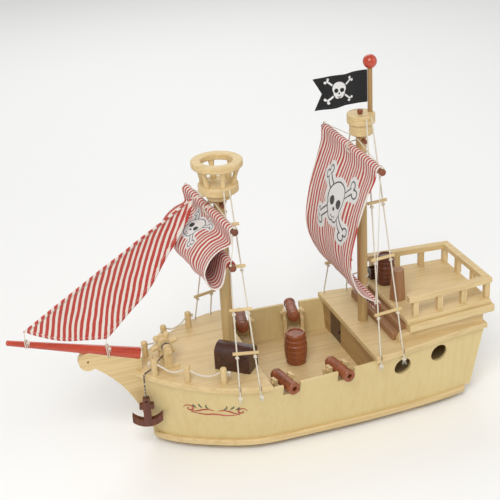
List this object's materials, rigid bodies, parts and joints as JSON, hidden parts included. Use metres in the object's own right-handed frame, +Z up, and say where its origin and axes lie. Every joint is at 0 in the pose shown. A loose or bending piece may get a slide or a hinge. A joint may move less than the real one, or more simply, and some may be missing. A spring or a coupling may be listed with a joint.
{
  "type": "toy boat",
  "caption": "Wooden toy pirate ship with bent-ply hull, masts, striped sails, crow's nest, cannons, windlass with anchor and opening chest.",
  "frame": {"origin": "middle foot batten's underside, on the floor, on the centre plane", "axes": "+X towards the stern, +Y to starboard, +Z up"},
  "size_m": [0.6044, 0.2138, 0.46],
  "materials": {
    "pine": "clear satin lacquer over pale pine",
    "ply": "clear satin lacquer over pale plywood, grain upright",
    "walnut": "stained walnut brown, satin",
    "dark_wood": "very dark brown stain, gloss",
    "redbrown": "red-brown stain, gloss",
    "red_paint": "red gloss paint on wood",
    "sailcloth": "white cotton with fine red stripes",
    "flagcloth": "black cotton",
    "cord": "off-white twisted cotton cord",
    "dark_cord": "dark brown and white flecked cord"
  },
  "bodies": {
    "hull": {"foot_battens": "pine", "base_board": "pine", "stem_beak": "pine", "transom": "pine", "waist_deck": "pine", "fore_bulkhead": "pine", "cabin_bulkhead": "pine", "foredeck": "pine", "quarterdeck": "pine", "poop_cheeks": "pine", "poop_band": "pine", "poop_deck": "pine", "poop_rail": "pine", "poop_rail_posts": "pine", "foremast": "pine", "mainmast": "pine", "nest_floor": "pine", "nest_balusters": "pine", "nest_ring": "pine", "main_top": "pine", "flagpole": "pine", "shroud_rungs": "pine", "foredeck_posts": "pine", "windlass_posts": "pine", "cannon_carriages": "pine", "cannon_trunnions": "pine", "hull_side_port": "ply", "hull_side_starboard": "ply", "stairs": "walnut", "bollard": "walnut", "chest_body": "dark_wood", "poop_barrel": "dark_wood", "crate": "dark_wood", "waist_barrel": "redbrown", "mast_pegs": "redbrown", "fore_upper_yard": "redbrown", "fore_lower_yard": "redbrown", "main_upper_yard": "redbrown", "main_lower_yard": "redbrown", "bowsprit": "red_paint", "pole_ball": "red_paint", "foresail": "sailcloth", "mainsail": "sailcloth", "jib": "sailcloth", "flag": "flagcloth", "shroud_cords": "cord", "shroud_knots": "cord", "running_cords": "cord", "deck_ropes": "cord", "anchor_cord": "dark_cord"},
    "cabin_door": {"cabin_door": "dark_wood"},
    "chest_lid": {"chest_lid": "dark_wood"},
    "windlass": {"windlass_drum": "pine", "anchor_cord_coil": "dark_cord"},
    "anchor": {"anchor": "redbrown", "anchor_fall": "dark_cord"},
    "cannon_fore_port": {"cannon_fore_port": "redbrown"},
    "cannon_aft_port": {"cannon_aft_port": "redbrown"},
    "cannon_fore_starboard": {"cannon_fore_starboard": "redbrown"},
    "cannon_aft_starboard": {"cannon_aft_starboard": "redbrown"}
  },
  "joints": [
    {"name": "windlass_turn", "type": "hinge", "parent": "hull", "child": "windlass", "pos_m": [-0.181, 0, 0.134], "axis": [0, 1, 0], "range_deg": [0, 325]},
    {"name": "anchor_drop", "type": "slide", "parent": "hull", "child": "anchor", "axis": [0, 0, -1], "range_m": [0, 0.03], "deforming": ["anchor_fall"]},
    {"name": "cabin_door_swing", "type": "hinge", "parent": "hull", "child": "cabin_door", "pos_m": [0.0655, 0.062, 0.078], "axis": [0, 0, -1], "range_deg": [0, 95]},
    {"name": "chest_lid_open", "type": "hinge", "parent": "hull", "child": "chest_lid", "pos_m": [-0.09423, -0.03376, 0.1281], "axis": [-0.7547, 0.6561, 0], "range_deg": [0, 95]},
    {"name": "cannon_fore_port_tip", "type": "hinge", "parent": "hull", "child": "cannon_fore_port", "pos_m": [-0.05718, -0.078, 0.0965], "axis": [-0.9781, -0.2079, 0], "range_deg": [-5, 10]},
    {"name": "cannon_aft_port_tip", "type": "hinge", "parent": "hull", "child": "cannon_aft_port", "pos_m": [0.01452, -0.078, 0.0965], "axis": [-0.9781, -0.2079, 0], "range_deg": [-5, 10]},
    {"name": "cannon_fore_starboard_tip", "type": "hinge", "parent": "hull", "child": "cannon_fore_starboard", "pos_m": [-0.05718, 0.078, 0.0965], "axis": [0.9781, -0.2079, 0], "range_deg": [-5, 10]},
    {"name": "cannon_aft_starboard_tip", "type": "hinge", "parent": "hull", "child": "cannon_aft_starboard", "pos_m": [0.01452, 0.078, 0.0965], "axis": [0.9781, -0.2079, 0], "range_deg": [-5, 10]}
  ],
  "couplings": [
    {"joint": "windlass_turn", "follows": "anchor_drop", "rad_per_m": 188.68}
  ]
}
